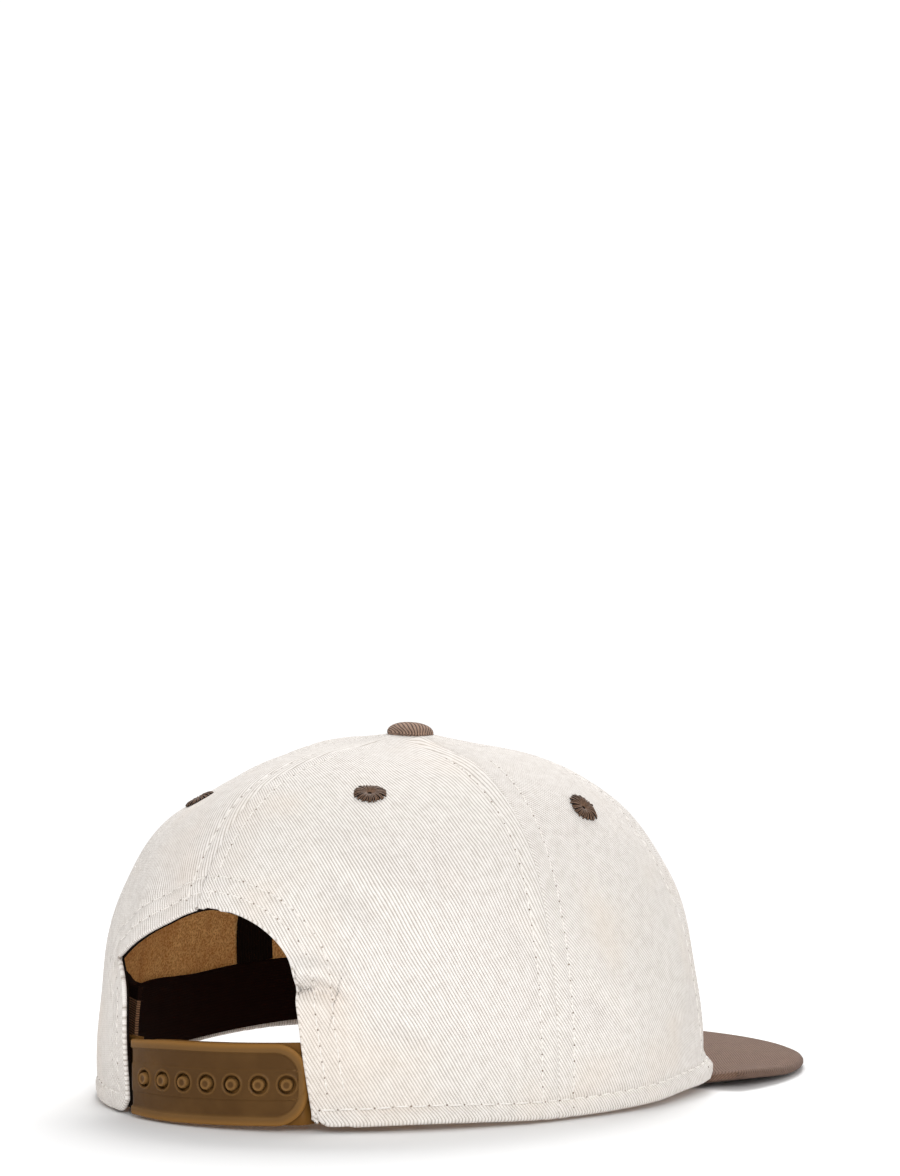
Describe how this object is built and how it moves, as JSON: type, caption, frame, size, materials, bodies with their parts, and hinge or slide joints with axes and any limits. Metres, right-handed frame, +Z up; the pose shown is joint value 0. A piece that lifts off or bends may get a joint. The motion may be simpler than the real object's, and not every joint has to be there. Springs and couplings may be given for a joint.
{
  "type": "five-panel cap",
  "caption": "Soft bone twill cap with a deep rounded crown, flat brown peak, covered button, stitched eyelets and an arched back opening closed by a pegged snap strap.",
  "frame": {"origin": "middle of the bounding box's base, on the surface that the cap rests on", "axes": "+Z up, the peak points along -Y and the snap strap is toward +Y; the wearer's left is +X"},
  "size_m": [0.1777, 0.2572, 0.1135],
  "materials": {
    "crown_twill": "matte diagonal cotton twill, off-white bone",
    "tan_lining": "matte speckled kraft tan backing cloth",
    "dark_tape": "matte woven dark brown tape",
    "sweatband_cloth": "matte dark brown twill sweatband",
    "peak_twill": "matte brown cotton twill over a stiff board",
    "button_twill": "matte brown cotton twill",
    "eyelet_thread": "satin brown embroidery thread",
    "strap_plastic": "translucent olive-brown moulded plastic"
  },
  "bodies": {
    "root": {"panel_back_right": "crown_twill", "panel_side_right": "crown_twill", "panel_front": "crown_twill", "panel_side_left": "crown_twill", "panel_back_left": "crown_twill", "lining_back_right": "tan_lining", "lining_side_right": "tan_lining", "lining_front": "tan_lining", "lining_side_left": "tan_lining", "lining_back_left": "tan_lining", "seam_tape_centre_back": "dark_tape", "seam_tape_side_back_right": "tan_lining", "seam_tape_front_right": "dark_tape", "seam_tape_front_left": "dark_tape", "seam_tape_side_back_left": "tan_lining", "arch_tape": "dark_tape", "sweatband": "sweatband_cloth", "peak": "peak_twill", "snap_strap_holes": "strap_plastic", "snap_strap_pegs": "strap_plastic", "button": "button_twill", "eyelet_back_right": "eyelet_thread", "eyelet_back_left": "eyelet_thread", "eyelet_side_right": "eyelet_thread", "eyelet_side_left": "eyelet_thread"}
  },
  "joints": []
}
